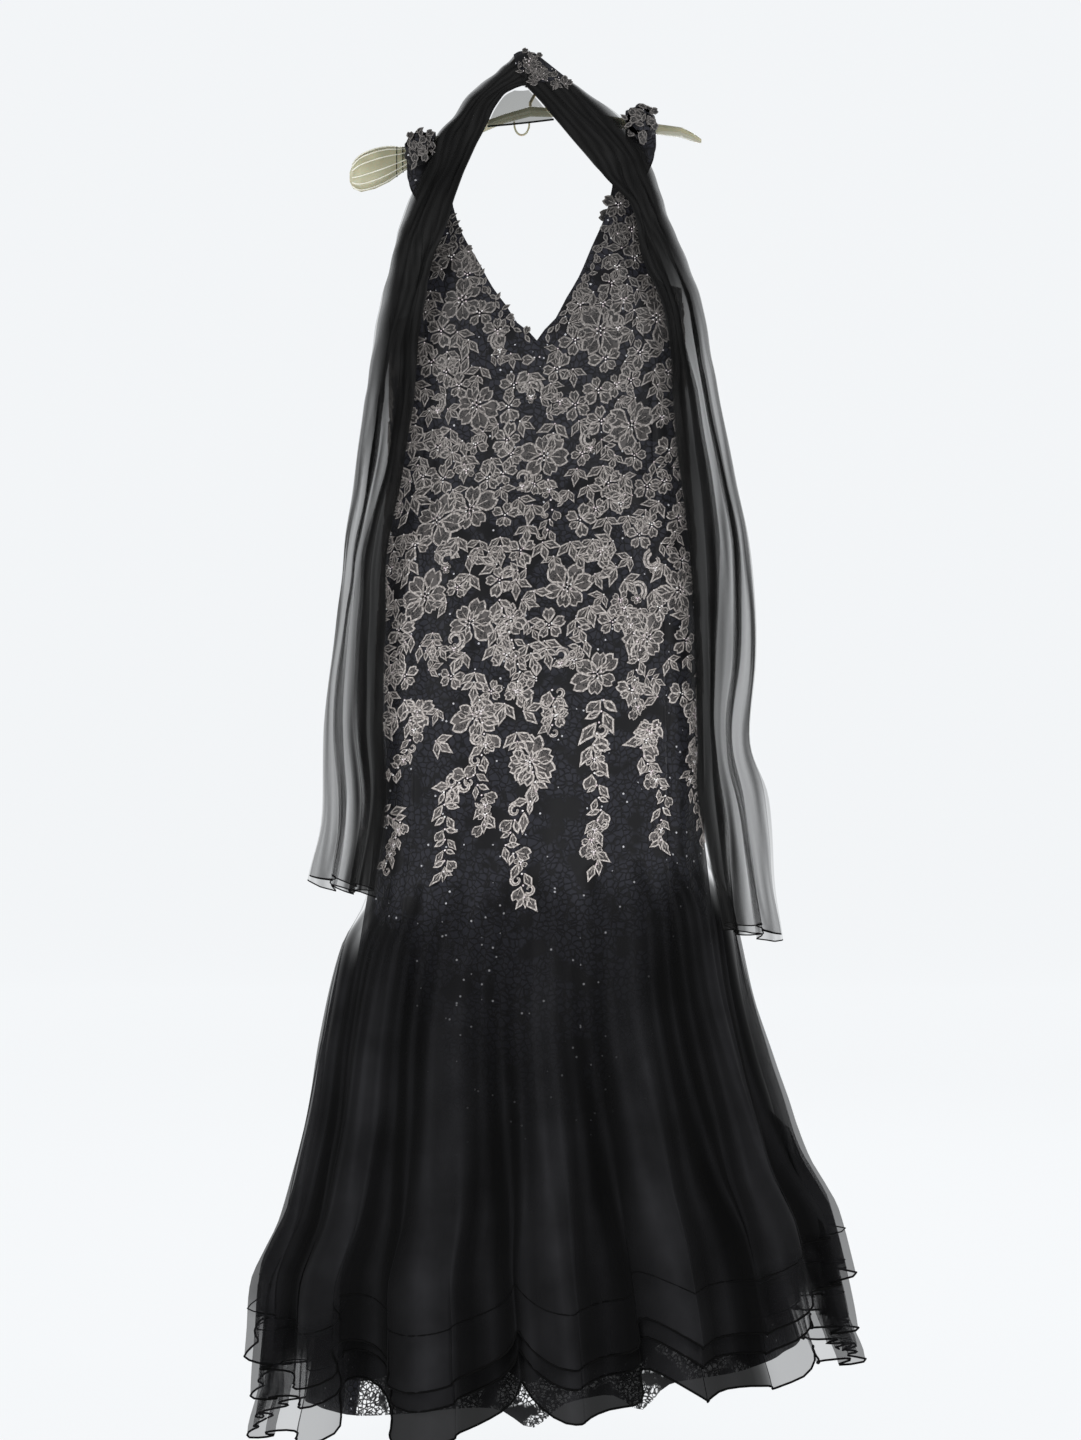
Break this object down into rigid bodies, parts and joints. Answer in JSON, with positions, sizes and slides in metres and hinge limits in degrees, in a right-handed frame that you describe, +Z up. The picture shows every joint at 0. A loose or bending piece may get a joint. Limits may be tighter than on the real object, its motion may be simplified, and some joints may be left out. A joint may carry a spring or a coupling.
{
  "type": "formal gown on a clothes hanger",
  "caption": "Floor-length trumpet gown of corded floral lace with a V neck, layered tulle flare and net stole, hanging on a ribbed plastic hanger by its wire hook.",
  "frame": {"origin": "the seat of the hanger's wire hook, the inside top of its bend, where a peg or rod holds it", "axes": "+X to the right of the front view, -Y to the front of the gown, +Z up; the gown hangs down -Z"},
  "size_m": [0.7245, 0.4328, 1.6217],
  "materials": {
    "corded_lace": "taupe corded and beaded flower lace on black lace over a dark navy lining",
    "black_tulle": "layered black tulle with stiffened, corded hems",
    "black_net": "sheer black net with a faint moire where layers cross",
    "cream_plastic": "ribbed, slightly translucent cream plastic",
    "hook_metal": "dull brassy wire"
  },
  "bodies": {
    "root": {"front_centre": "corded_lace", "front_side_left": "corded_lace", "front_side_right": "corded_lace", "back_side_left": "corded_lace", "back_side_right": "corded_lace", "back_centre_left": "corded_lace", "back_centre_right": "corded_lace", "strap_left": "corded_lace", "strap_right": "corded_lace", "tulle_upper_front": "black_tulle", "tulle_upper_back": "black_tulle", "tulle_middle_front": "black_tulle", "tulle_middle_back": "black_tulle", "tulle_lower_front": "black_tulle", "tulle_lower_back": "black_tulle", "stole_left": "black_net", "stole_right": "black_net", "stole_veil": "black_net", "stole_lace": "corded_lace", "hanger": "cream_plastic", "hanger_loop": "cream_plastic", "hook": "hook_metal"}
  },
  "joints": []
}
